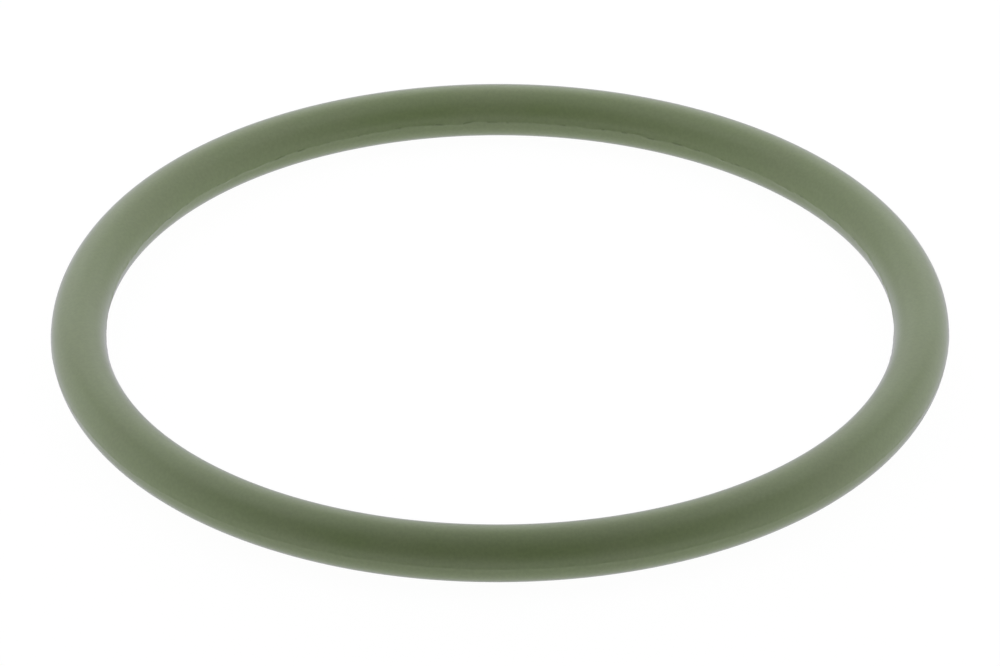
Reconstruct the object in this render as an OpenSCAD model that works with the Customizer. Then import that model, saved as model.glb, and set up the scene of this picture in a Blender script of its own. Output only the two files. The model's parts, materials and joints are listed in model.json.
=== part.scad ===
// Round valve cover gasket: a sealing ring of round section, moulded in one piece from green
// fluoroelastomer. The two mould halves meet at mid height. What is left of the flash there is
// a low bead round the inner and the outer diameter, with a trimmed crest and long hollow flanks.
// The origin is the centre of the ring and Z is its axis. The ring lies flat, as at rest.

/* [Ring] */
// Inner diameter, measured on the round section
inner_d = 58; // [20:0.5:160]
// Diameter of the round section
section_d = 4; // [2:0.1:8]

/* [Parting line] */
// Height of the inner bead above the round section
inner_flash_h = 0.06; // [0.02:0.01:0.12]
// Height of the outer bead above the round section
outer_flash_h = 0.03; // [0.02:0.01:0.12]
// Width of the trimmed crest of both beads
flash_land_w = 0.1; // [0.06:0.02:0.3]
// Radius of the hollow flanks between crest and section
flash_flank_r = 3; // [0.5:0.5:6]

/* [Hidden] */
section_r = section_d / 2;
// Radius of the circle that the centre of the section runs along
pitch_r = inner_d / 2 + section_r;
// How far the blank of a bead reaches into the section that it grows from
bead_root = section_r / 4;
$fn = 96;

// Distance from the centre of the section to the corner of a bead's crest
function crest_reach(flash_h) = norm([section_r + flash_h, flash_land_w / 2]);

// Angle of that corner above mid height, seen from the centre of the section
function crest_angle(flash_h) = atan2(flash_land_w / 2, section_r + flash_h);

// Angle above mid height at which a flank touches the section. The flank's circle lies outside
// the section, touches it, and passes through the corner of the crest.
function flank_angle(flash_h) =
    let (reach = crest_reach(flash_h), centre = section_r + flash_flank_r)
    crest_angle(flash_h)
        + acos((pow(reach, 2) + pow(centre, 2) - pow(flash_flank_r, 2)) / (2 * reach * centre));

// A bead in the plane of the section, standing out of it along +X
module flash_bead(flash_h) {
    touch = flank_angle(flash_h);
    half_w = section_r * sin(touch);
    difference() {
        translate([section_r - bead_root, -half_w])
            square([bead_root + flash_h, 2 * half_w]);
        for (side = [-1, 1])
            rotate(side * touch)
                translate([section_r + flash_flank_r, 0])
                    circle(r = flash_flank_r);
    }
}

// The moulded section, centred on the origin, with the ring's axis towards -X
module ring_section() {
    circle(d = section_d);
    flash_bead(outer_flash_h);
    rotate(180) flash_bead(inner_flash_h);
}

module gasket_ring() {
    color([0.45, 0.49, 0.38])
        rotate_extrude()
            translate([pitch_r, 0])
                ring_section();
}

gasket_ring();
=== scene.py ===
"""Looks of a round valve cover gasket: one moulded ring of satin green rubber on a white table.

The ring is drawn as its section, which is round with a flash bead at each parting line of the
mould, and spun round its axis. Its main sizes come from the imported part. Lengths are in metres.
"""

import json
import logging
import math
from collections.abc import Callable
from dataclasses import dataclass, field
from enum import Enum

import bmesh
import bpy
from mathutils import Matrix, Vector


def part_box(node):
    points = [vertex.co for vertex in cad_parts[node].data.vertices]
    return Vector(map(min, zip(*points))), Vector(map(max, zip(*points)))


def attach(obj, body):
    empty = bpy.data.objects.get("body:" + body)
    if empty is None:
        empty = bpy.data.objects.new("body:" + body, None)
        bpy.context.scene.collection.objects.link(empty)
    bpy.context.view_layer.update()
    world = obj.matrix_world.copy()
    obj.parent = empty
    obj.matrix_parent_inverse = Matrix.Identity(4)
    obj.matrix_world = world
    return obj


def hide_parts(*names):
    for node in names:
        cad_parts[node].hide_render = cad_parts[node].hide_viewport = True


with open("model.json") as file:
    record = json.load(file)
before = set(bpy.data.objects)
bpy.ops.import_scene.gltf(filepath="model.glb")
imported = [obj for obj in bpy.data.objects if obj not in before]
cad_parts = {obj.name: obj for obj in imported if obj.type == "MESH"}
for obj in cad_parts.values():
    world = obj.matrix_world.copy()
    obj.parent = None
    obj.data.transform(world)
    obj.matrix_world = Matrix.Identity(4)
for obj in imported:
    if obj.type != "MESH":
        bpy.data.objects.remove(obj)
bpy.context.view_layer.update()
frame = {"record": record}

MM = 0.001
QUARTER_TURN = 90  # degrees
log = logging.getLogger("valve_cover_gasket")

Colour = tuple[float, float, float]
Place = tuple[float, float, float]
Reach = tuple[float, float]
Socket = bpy.types.NodeSocket


class MouldSide(Enum):
    """Where the two mould halves meet on the section: towards the ring's axis or away from it."""

    INNER = -1
    OUTER = 1


class Wander(Enum):
    """How a bead's crest leaves its line: the way that it is pushed, and the level that means no push."""

    CUT_BACK = ("NORMAL", 1.0)
    ASTRAY = ("Z", 0.5)


class Bay(Enum):
    """The two parts of the light tent, along Y: the one at the camera's side, and the one behind it."""

    FRONT = (-0.18, -0.03)
    BACK = (-0.03, 0.20)


def start_piece(name: str) -> None:
    """Deselects everything, so that operators act on the new piece alone, and logs its name."""
    bpy.ops.object.select_all(action="DESELECT")
    log.info("modelling %s", name)


def select_points(piece: bpy.types.Object, wanted: Callable[[Vector], bool]) -> None:
    """Selects the points of a piece in edit mode by where they are, and deselects the others.

    Args:
        piece: The mesh object, which is in edit mode.
        wanted: Says whether the point at a place is wanted.
    """
    mesh = bmesh.from_edit_mesh(piece.data)
    for point in mesh.verts:
        point.select = wanted(point.co)
    mesh.select_flush_mode()
    bmesh.update_edit_mesh(piece.data)


@dataclass(frozen=True)
class Pattern:
    """A noise pattern: how many of its waves fit in a metre, and how many finer octaves it has."""

    per_metre: float
    detail: float


class ShaderBoard:
    """The node tree of a material, with short calls that add nodes and wire them."""

    def __init__(self, name: str) -> None:
        """Makes a material with an empty node tree.

        Args:
            name: The name of the material.
        """
        self.material = bpy.data.materials.new(name)
        self.material.use_nodes = True
        self.tree = self.material.node_tree
        self.tree.nodes.clear()

    def add(self, kind: str, inputs: dict | None = None, **settings: object) -> bpy.types.Node:
        """Adds a node.

        Args:
            kind: The type of the node, without the ShaderNode in front.
            inputs: What each of its sockets, by name or number, is wired to or set to.
            settings: Values of the node's own properties.

        Returns:
            The new node.
        """
        node = self.tree.nodes.new("ShaderNode" + kind)
        for setting, value in settings.items():
            setattr(node, setting, value)
        for socket, value in (inputs or {}).items():
            if isinstance(value, Socket):
                self.tree.links.new(value, node.inputs[socket])
            else:
                node.inputs[socket].default_value = value
        return node

    def math(self, operation: str, *values: float | Socket) -> Socket:
        """Adds a node that works out one number from numbers and the outputs of other nodes."""
        return self.add("Math", dict(enumerate(values)), operation=operation).outputs[0]

    def noise(self, where: Socket, pattern: Pattern) -> Socket:
        """Adds a noise pattern from 0 to 1, made in coordinates in metres."""
        inputs = {"Vector": where, "Scale": pattern.per_metre, "Detail": pattern.detail}
        return self.add("TexNoise", inputs).outputs[0]

    def spread(self, value: Socket, given: Reach, wanted: Reach = (0.0, 1.0)) -> Socket:
        """Maps one range of a number to another, smoothly and without going past its ends.

        Args:
            value: The number.
            given: The low and the high end of its range.
            wanted: What these two ends become.

        Returns:
            The mapped number.
        """
        inputs = {
            "Value": value,
            "From Min": given[0],
            "From Max": given[1],
            "To Min": wanted[0],
            "To Max": wanted[1],
        }
        return self.add("MapRange", inputs, interpolation_type="SMOOTHSTEP").outputs[0]

    def blend(self, share: Socket, first: Colour | Socket, second: Colour | Socket) -> Socket:
        """Mixes two colours.

        Args:
            share: How much of the second colour shows, from 0 to 1.
            first: The colour at 0.
            second: The colour at 1.

        Returns:
            The mixed colour.
        """
        node = self.add("Mix", data_type="RGBA")
        for label, value in (("A", first), ("B", second)):
            socket = next(each for each in node.inputs if each.name == label and each.type == "RGBA")
            if isinstance(value, Socket):
                self.tree.links.new(value, socket)
            else:
                socket.default_value = (*value, 1.0)
        self.tree.links.new(share, node.inputs["Factor"])
        return next(each for each in node.outputs if each.type == "RGBA")

    def bump(self, height: Socket, depth: float, under: Socket | None = None) -> Socket:
        """Adds a relief to the surface's shading.

        Args:
            height: The relief, from 0 to 1.
            depth: The height of the relief in metres at 1.
            under: The shading normal of a coarser relief that it lies on.

        Returns:
            The shading normal.
        """
        inputs: dict[str, object] = {"Height": height, "Distance": depth}
        if under is not None:
            inputs["Normal"] = under
        return self.add("Bump", inputs).outputs["Normal"]

    def finish(self, surface: Socket) -> bpy.types.Material:
        """Wires the shader that the surface shows to the material's output."""
        self.add("OutputMaterial", {"Surface": surface})
        return self.material


@dataclass(frozen=True)
class MouldedRubber:
    """Satin fluoroelastomer as it comes out of a turned mould: olive green under a faint grey haze.

    Clouds mottle the two greens and the gloss, and specks make them lighter and darker. Dark dashes
    along a bead's crest are painted shade, for the shadows under its ragged, trimmed lip. Grooves are
    the marks that turning has left round the mould.
    A reach holds the two values, of a pattern or of the rise up a bead, between which its effect
    goes from one end to the other.
    """

    olive: Colour = (0.161, 0.215, 0.088)
    sage: Colour = (0.168, 0.217, 0.096)
    # Painted shade: the dark green of the dashes on a bead's crest, for the shadows under its ragged lip.
    painted_crest_shade: Colour = (0.108, 0.150, 0.054)
    haze: Colour = (0.76, 0.71, 0.89)
    haze_weight: float = 0.85
    haze_roughness: float = 0.35
    roughness: float = 0.50
    roughness_play: float = 0.03
    dull_reach: Reach = (0.3, 0.7)
    specular_level: float = 0.60
    clouds: Pattern = Pattern(per_metre=160.0, detail=2.0)
    sage_reach: Reach = (0.35, 0.65)
    specks: Pattern = Pattern(per_metre=4200.0, detail=3.0)
    speck_reach: Reach = (0.3, 0.7)
    speck_play: float = 0.05
    # Where along the crest the painted shade falls, in dashes.
    crest_shade_dashes: Pattern = Pattern(per_metre=1000.0, detail=2.0)
    crest_shade_dash_reach: Reach = (0.54, 0.66)
    crest_reach: Reach = (0.7, 0.9)
    grooves: Pattern = Pattern(per_metre=9000.0, detail=1.0)
    groove_depth: float = 0.0012 * MM
    grain: Pattern = Pattern(per_metre=14000.0, detail=2.0)
    grain_depth: float = 0.0015 * MM

    def material(self, place: str, crest: str) -> bpy.types.Material:
        """Makes the material.

        Args:
            place: The piece's attribute that holds where each point was in the mould.
            crest: The piece's attribute that is 1 on the crest of a bead with painted crest shade and 0 on
                the section.

        Returns:
            The material.
        """
        board = ShaderBoard("green_rubber")
        moulded = board.add("Attribute", attribute_name=place).outputs["Vector"]
        crest_shade_rise = board.add("Attribute", attribute_name=crest).outputs["Fac"]
        axes = board.add("SeparateXYZ", {"Vector": moulded}).outputs
        flat = board.add("CombineXYZ", {"X": axes["X"], "Y": axes["Y"]}).outputs[0]
        radius = board.add("VectorMath", {0: flat}, operation="LENGTH").outputs["Value"]
        across = board.add("CombineXYZ", {"X": radius, "Y": axes["Z"]}).outputs[0]

        clouds = board.noise(moulded, self.clouds)
        greens = board.blend(board.spread(clouds, self.sage_reach), self.olive, self.sage)
        brightness = board.spread(
            board.noise(moulded, self.specks),
            self.speck_reach,
            (1.0 - self.speck_play, 1.0 + self.speck_play),
        )
        speckled = board.add("HueSaturation", {"Color": greens, "Value": brightness}).outputs[0]
        # Painted shade: dark dashes along the crest of the inner bead, standing in for the shadows under its
        # ragged lip.
        crest_shade_dashes = board.spread(board.noise(moulded, self.crest_shade_dashes), self.crest_shade_dash_reach)
        painted_crest_shade_mask = board.math("MULTIPLY", board.spread(crest_shade_rise, self.crest_reach), crest_shade_dashes)
        colour = board.blend(painted_crest_shade_mask, speckled, self.painted_crest_shade)

        grooved = board.bump(board.noise(across, self.grooves), self.groove_depth)
        relief = board.bump(board.noise(moulded, self.grain), self.grain_depth, grooved)
        dull = board.spread(
            clouds,
            self.dull_reach,
            (self.roughness - self.roughness_play, self.roughness + self.roughness_play),
        )
        rubber = board.add("BsdfPrincipled", {
            "Base Color": colour,
            "Roughness": dull,
            "Specular IOR Level": self.specular_level,
            "Sheen Weight": self.haze_weight,
            "Sheen Roughness": self.haze_roughness,
            "Sheen Tint": (*self.haze, 1.0),
            "Normal": relief,
        })
        return board.finish(rubber.outputs[0])


@dataclass(frozen=True)
class WhiteTable:
    """A white table top lit from below, so that it is white and its shadows are faint."""

    paint: Colour = (0.04, 0.04, 0.04)
    glow: float = 0.975

    def material(self) -> bpy.types.Material:
        """Makes the material.

        Returns:
            The paint, with the glow added to it.
        """
        board = ShaderBoard("white_table")
        paint = board.add("BsdfDiffuse", {"Color": (*self.paint, 1.0)}).outputs[0]
        glow = board.add("Emission", {"Strength": self.glow}).outputs[0]
        return board.finish(board.add("AddShader", {0: paint, 1: glow}).outputs[0])


@dataclass
class FlashBead:
    """What is left of the flash at one parting line: a low bead with a trimmed, uneven crest.

    Attributes:
        side: The parting line that it lies at.
        height: How far its crest stands out of the round section.
        flank: How far its hollow flanks run out beside the crest.
        land: The width of its flat crest.
        trim: The most that trimming takes off the crest.
        trim_wave: The length of the waves in which it does so.
        stray: The most that the crest leaves its line, up or down.
        stray_wave: The length of the waves in which it does so.
        painted_crest_shade: Whether its crest gets dashes of painted shade, for the shadows under its ragged
            lip.
    """

    side: MouldSide
    height: float
    flank: float
    land: float = 0.1 * MM
    trim: float = 0.03 * MM
    trim_wave: float = 0.9 * MM
    stray: float = 0.04 * MM
    stray_wave: float = 1.5 * MM
    # Whether the crest gets painted shade in dashes.
    painted_crest_shade: bool = False

    @property
    def group(self) -> str:
        """The vertex group that holds the bead."""
        return f"{self.side.name.lower()}_bead"


@dataclass(frozen=True)
class Slack:
    """A place where the ring, lying free, has come in a little from its round form.

    Attributes:
        degrees_round: Where it is, counted round the ring from the +X side.
        reach: How far from it the ring still moves.
        depth: How far the ring has come in there.
    """

    degrees_round: float
    reach: float
    depth: float = 0.3 * MM


@dataclass
class SealingRing:
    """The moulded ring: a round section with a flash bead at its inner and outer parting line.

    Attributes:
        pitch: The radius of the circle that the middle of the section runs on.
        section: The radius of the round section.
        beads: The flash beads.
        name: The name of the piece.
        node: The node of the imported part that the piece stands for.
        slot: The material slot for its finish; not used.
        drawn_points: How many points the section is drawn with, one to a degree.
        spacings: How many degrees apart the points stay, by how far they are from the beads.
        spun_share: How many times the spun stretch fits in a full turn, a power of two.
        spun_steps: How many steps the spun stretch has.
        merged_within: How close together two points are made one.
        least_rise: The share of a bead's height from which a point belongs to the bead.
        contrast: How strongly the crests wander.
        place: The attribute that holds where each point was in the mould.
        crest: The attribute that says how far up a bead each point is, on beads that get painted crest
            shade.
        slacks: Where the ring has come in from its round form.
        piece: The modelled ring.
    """

    pitch: float
    section: float
    beads: list[FlashBead]
    name: str = "moulded_ring"
    node: str = "gasket_ring"
    slot: str = "green_rubber"
    drawn_points: int = 360
    spacings: dict[int, int] = field(default_factory=lambda: {6: 1, 16: 2, QUARTER_TURN: 4})
    spun_share: int = 8
    spun_steps: int = 90
    merged_within: float = 0.001 * MM
    least_rise: float = 0.001
    contrast: float = 1.6
    place: str = "moulded_place"
    # The attribute that places the painted shade on a bead's crest.
    crest: str = "painted_shade_crest"
    slacks: tuple[Slack, ...] = (Slack(168.7, 26.7 * MM), Slack(272.8, 32.0 * MM))
    piece: bpy.types.Object | None = field(default=None, repr=False)

    @classmethod
    def from_frame(cls, inner: FlashBead, outer: FlashBead) -> "SealingRing":
        """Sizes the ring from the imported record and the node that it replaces.

        Args:
            inner: The bead at the inner parting line.
            outer: The bead at the outer parting line.

        Returns:
            The ring, not yet modelled.
        """
        seats = {mount["name"]: mount for mount in frame["record"]["mounts"]}
        outer_crest = seats["outer_seat"]["dims"]["r_mm"] * MM
        low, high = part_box(cls.node)
        section = (high.z - low.z) / 2
        return cls(pitch=outer_crest - outer.height - section, section=section, beads=[inner, outer])

    def is_spare(self, place: Vector) -> bool:
        """Says whether a point of the drawn circle can go, as its place is well away from the beads.

        Args:
            place: The point.

        Returns:
            True if the section keeps its shape without it.
        """
        degrees = round(math.degrees(math.asin(min(1.0, abs(place.z) / self.section))))
        spacing = next(step for reach, step in self.spacings.items() if degrees <= reach)
        return (QUARTER_TURN - degrees) % spacing != 0

    def draw_section(self) -> None:
        """Draws the round section as a circle of points, close together at the beads."""
        start_piece(self.name)
        bpy.ops.mesh.primitive_circle_add(
            vertices=self.drawn_points,
            radius=self.section,
            location=(self.pitch, 0.0, 0.0),
            rotation=(math.radians(QUARTER_TURN), 0.0, 0.0),
        )
        self.piece = bpy.context.object
        self.piece.name = self.name
        self.piece.data.name = self.name
        bpy.ops.object.transform_apply(location=True, rotation=True, scale=True)
        bpy.ops.object.mode_set(mode="EDIT")
        select_points(self.piece, self.is_spare)
        bpy.ops.mesh.dissolve_verts()

    def raise_bead(self, bead: FlashBead) -> None:
        """Pulls a bead out of the section, with a flat crest and hollow flanks.

        Args:
            bead: The bead.
        """
        side = bead.side.value
        half_land = bead.land / 2
        select_points(
            self.piece,
            lambda place: abs(place.z) < half_land and (place.x - self.pitch) * side > 0,
        )
        bpy.ops.transform.translate(
            value=(side * bead.height, 0.0, 0.0),
            use_proportional_edit=True,
            proportional_edit_falloff="SHARP",
            proportional_size=bead.flank,
        )

    def spin_round(self) -> None:
        """Spins the section through a share of the turn, and copies that round to a closed ring."""
        share = math.tau / self.spun_share
        bpy.ops.mesh.select_all(action="SELECT")
        bpy.ops.mesh.spin(steps=self.spun_steps, angle=share, center=(0.0, 0.0, 0.0), axis=(0.0, 0.0, 1.0))
        for doubling in range(int(math.log2(self.spun_share))):
            bpy.ops.mesh.select_all(action="SELECT")
            bpy.ops.mesh.duplicate()
            bpy.ops.transform.rotate(
                value=share * 2**doubling, orient_axis="Z", center_override=(0.0, 0.0, 0.0)
            )
        bpy.ops.mesh.select_all(action="SELECT")
        bpy.ops.mesh.remove_doubles(threshold=self.merged_within)
        bpy.ops.mesh.normals_make_consistent(inside=False)
        bpy.ops.object.mode_set(mode="OBJECT")
        bpy.ops.object.shade_smooth()

    def mark_points(self) -> None:
        """Notes on each point where it lay in the mould and how far up a bead it is."""
        mesh = self.piece.data
        groups = {bead.side: self.piece.vertex_groups.new(name=bead.group) for bead in self.beads}
        beads = {bead.side: bead for bead in self.beads}
        rises = []
        for point in mesh.vertices:
            from_pitch = math.hypot(point.co.x, point.co.y) - self.pitch
            bead = beads[MouldSide.OUTER if from_pitch > 0 else MouldSide.INNER]
            rise = (math.hypot(from_pitch, point.co.z) - self.section) / bead.height
            # Only beads with painted crest shade get a rise, which places that painted shade.
            rises.append(max(0.0, rise) if bead.painted_crest_shade else 0.0)
            if rise > self.least_rise:
                groups[bead.side].add([point.index], rise, "REPLACE")
        places = mesh.attributes.new(self.place, "FLOAT_VECTOR", "POINT")
        places.data.foreach_set("vector", [number for point in mesh.vertices for number in point.co])
        crests = mesh.attributes.new(self.crest, "FLOAT", "POINT")
        crests.data.foreach_set("value", rises)

    def push_bead(self, bead: FlashBead, wander: Wander, reach: float, wave: float) -> None:
        """Pushes the crest of a bead by an amount that wanders along the ring.

        Args:
            bead: The bead.
            wander: The way that it is pushed.
            reach: How far apart the two ends of its wander are.
            wave: The length of the wander's waves.
        """
        direction, rest_level = wander.value
        unevenness = bpy.data.textures.new(f"{bead.group}_{direction.lower()}", "CLOUDS")
        unevenness.noise_scale = wave
        unevenness.contrast = self.contrast
        bpy.ops.object.modifier_add(type="DISPLACE")
        push = self.piece.modifiers[-1]
        push.texture = unevenness
        push.vertex_group = bead.group
        push.direction = direction
        push.strength = reach
        push.mid_level = rest_level
        bpy.ops.object.modifier_apply(modifier=push.name)

    def trim_bead(self, bead: FlashBead) -> None:
        """Cuts the crest of a bead back unevenly, and lets it stray up and down."""
        self.push_bead(bead, Wander.CUT_BACK, bead.trim, bead.trim_wave)
        self.push_bead(bead, Wander.ASTRAY, 2 * bead.stray, bead.stray_wave)

    def come_in(self, slack: Slack) -> None:
        """Moves the ring in at one place, and less and less away from it.

        Args:
            slack: The place, and how far the ring comes in.
        """
        turn = math.radians(slack.degrees_round)
        inward = -Vector((math.cos(turn), math.sin(turn), 0.0))
        half_step = math.tau / (2 * self.spun_share * self.spun_steps)
        bpy.ops.object.mode_set(mode="EDIT")
        select_points(self.piece, lambda place: inward.angle(Vector((-place.x, -place.y, 0.0))) < half_step)
        bpy.ops.transform.translate(
            value=inward * slack.depth,
            use_proportional_edit=True,
            proportional_edit_falloff="SMOOTH",
            proportional_size=slack.reach,
        )
        bpy.ops.object.mode_set(mode="OBJECT")

    def build(self) -> bpy.types.Object:
        """Models the ring.

        Returns:
            The piece.
        """
        self.draw_section()
        for bead in self.beads:
            self.raise_bead(bead)
        self.spin_round()
        self.mark_points()
        for bead in self.beads:
            self.trim_bead(bead)
        for slack in self.slacks:
            self.come_in(slack)
        return self.piece

    def dress(self, rubber: MouldedRubber) -> None:
        """Gives the ring its material and its place in the frame.

        Args:
            rubber: The finish.
        """
        self.piece.data.materials.append(rubber.material(self.place, self.crest))
        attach(self.piece, "root")
        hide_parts(self.node)


@dataclass(frozen=True)
class LitPanel:
    """A rectangle of white cloth, lit from behind. At level 1 it looks as bright as a white card."""

    name: str
    centre: Place
    facing: Place
    width: float
    height: float
    level: float

    def hang(self) -> None:
        """Hangs the lamp that stands for the panel."""
        lamp = bpy.data.lights.new(self.name, "AREA")
        lamp.shape = "RECTANGLE"
        lamp.size = self.width
        lamp.size_y = self.height
        lamp.energy = self.level * math.pi * self.width * self.height
        holder = bpy.data.objects.new(self.name, lamp)
        holder.location = self.centre
        holder.rotation_mode = "QUATERNION"
        holder.rotation_quaternion = Vector(self.facing).to_track_quat("-Z", "Y")
        bpy.context.scene.collection.objects.link(holder)


@dataclass(frozen=True)
class Viewpoint:
    """Where the camera stands, in front of the ring and above it.

    Attributes:
        distance: How far it is from the middle of the ring.
        degrees_up: Its angle above the table, seen from the middle of the ring.
        aim: The point that it looks at.
        lens_mm: The length of its lens.
        nearest: How close to it a thing can be seen.
        farthest: How far from it a thing can be seen.
    """

    distance: float = 440 * MM
    degrees_up: float = 31.75
    aim: Place = (0.11 * MM, -1.9 * MM, 0.0)
    lens_mm: float = 215.8
    nearest: float = 0.01
    farthest: float = 20.0

    def set_up(self) -> None:
        """Makes the camera and hands it to the scene."""
        rise = math.radians(self.degrees_up)
        camera = bpy.data.objects.new("camera", bpy.data.cameras.new("camera"))
        camera.data.lens = self.lens_mm
        camera.data.clip_start = self.nearest
        camera.data.clip_end = self.farthest
        camera.location = Vector((0.0, -math.cos(rise), math.sin(rise))) * self.distance
        camera.rotation_mode = "QUATERNION"
        camera.rotation_quaternion = (Vector(self.aim) - camera.location).to_track_quat("-Z", "Y")
        bpy.context.scene.collection.objects.link(camera)
        bpy.context.scene.camera = camera


@dataclass
class LightTent:
    """A box of lit white cloth round the ring, in two bays. The camera looks in where it is open.

    Attributes:
        half_width: How far each side wall stands from the middle of the ring.
        back: How far behind it the back wall stands.
        wall_height: How high the side walls are.
        roof_height: How high over the ring the roof hangs.
        side_levels: The level of the side walls in each bay.
        roof_strips: The level of each strip of the roof in each bay, by the strip's left and right edge.
        back_width: How wide the back wall is.
        back_courses: The level of each course of the back wall, by its lower and upper edge.
    """

    half_width: float = 0.22
    back: float = 0.22
    wall_height: float = 0.16
    roof_height: float = 0.20
    side_levels: dict[Bay, float] = field(default_factory=lambda: {Bay.FRONT: 0.97, Bay.BACK: 1.58})
    roof_strips: dict[Reach, dict[Bay, float]] = field(
        default_factory=lambda: {
            (-0.20, -0.07): {Bay.FRONT: 0.28, Bay.BACK: 1.88},
            (-0.07, 0.07): {Bay.FRONT: 0.28, Bay.BACK: 0.56},
            (0.07, 0.20): {Bay.FRONT: 0.28, Bay.BACK: 1.88},
        }
    )
    back_width: float = 0.40
    back_courses: dict[Reach, float] = field(default_factory=lambda: {(0.0, 0.05): 0.60, (0.05, 0.18): 1.95})

    def bay_panels(self, bay: Bay) -> list[LitPanel]:
        """Lists the panels of one bay.

        Args:
            bay: The bay.

        Returns:
            Its two side walls and its part of each strip of the roof.
        """
        front, back = bay.value
        depth = back - front
        middle = (front + back) / 2
        name = bay.name.lower()
        walls = [
            LitPanel(
                f"{side}_{name}",
                centre=(way * self.half_width, middle, self.wall_height / 2),
                facing=(-way, 0.0, 0.0),
                width=depth,
                height=self.wall_height,
                level=self.side_levels[bay],
            )
            for side, way in (("left", -1), ("right", 1))
        ]
        roof = [
            LitPanel(
                f"roof_{left:.2f}_{name}",
                centre=((left + right) / 2, middle, self.roof_height),
                facing=(0.0, 0.0, -1.0),
                width=right - left,
                height=depth,
                level=levels[bay],
            )
            for (left, right), levels in self.roof_strips.items()
        ]
        return walls + roof

    def back_panels(self) -> list[LitPanel]:
        """Lists the panels of the back wall, one for each of its courses."""
        return [
            LitPanel(
                f"back_{low:.2f}",
                centre=(0.0, self.back, (low + high) / 2),
                facing=(0.0, -1.0, 0.0),
                width=self.back_width,
                height=high - low,
                level=level,
            )
            for (low, high), level in self.back_courses.items()
        ]

    def panels(self) -> list[LitPanel]:
        """Lists the panels of the two bays, and then those of the back wall."""
        return [panel for bay in Bay for panel in self.bay_panels(bay)] + self.back_panels()


@dataclass
class Studio:
    """The white table, the light tent over it and the camera.

    Attributes:
        table_height: The height of the table top.
        table_size: How wide and how deep it is.
        backdrop: What the camera sees past the table.
    """

    table_height: float
    table_size: float = 8.0
    backdrop: Colour = (1.0, 1.0, 1.0)

    def lay_table(self) -> None:
        """Lays the table top under the ring."""
        start_piece("table_top")
        bpy.ops.mesh.primitive_plane_add(size=self.table_size, location=(0.0, 0.0, self.table_height))
        top = bpy.context.object
        top.name = "table_top"
        bpy.ops.object.transform_apply(location=True, rotation=True, scale=True)
        top.data.materials.append(WhiteTable().material())

    def surround(self) -> None:
        """Leaves the space round the tent dark, and shows the camera the backdrop there."""
        world = bpy.data.worlds.new("studio_walls")
        bpy.context.scene.world = world
        world.use_nodes = True
        nodes = world.node_tree.nodes
        nodes.clear()
        backdrop = nodes.new("ShaderNodeBackground")
        backdrop.inputs["Color"].default_value = (*self.backdrop, 1.0)
        seen = nodes.new("ShaderNodeLightPath")
        output = nodes.new("ShaderNodeOutputWorld")
        links = world.node_tree.links
        links.new(seen.outputs["Is Camera Ray"], backdrop.inputs["Strength"])
        links.new(backdrop.outputs[0], output.inputs["Surface"])

    def build(self) -> None:
        """Sets up the table, its surroundings, the light tent and the camera."""
        self.lay_table()
        self.surround()
        for panel in LightTent().panels():
            panel.hang()
        Viewpoint().set_up()
        bpy.context.scene.view_settings.view_transform = "Standard"


def main() -> None:
    """Builds the ring and its surroundings, and reports what was made."""
    logging.basicConfig(level=logging.INFO, format="%(message)s")
    ring = SealingRing.from_frame(
        inner=FlashBead(
            MouldSide.INNER,
            height=0.06 * MM,
            flank=0.37 * MM,
            trim=0.045 * MM,
            trim_wave=0.6 * MM,
            stray=0.12 * MM,
            # The inner bead's crest gets dashes of painted shade.
            painted_crest_shade=True,
        ),
        outer=FlashBead(MouldSide.OUTER, height=0.03 * MM, flank=0.25 * MM),
    )
    piece = ring.build()
    ring.dress(MouldedRubber())
    log.info("%s: %d points, %d faces", piece.name, len(piece.data.vertices), len(piece.data.polygons))
    Studio(table_height=-ring.section).build()


if __name__ == "__main__":
    main()
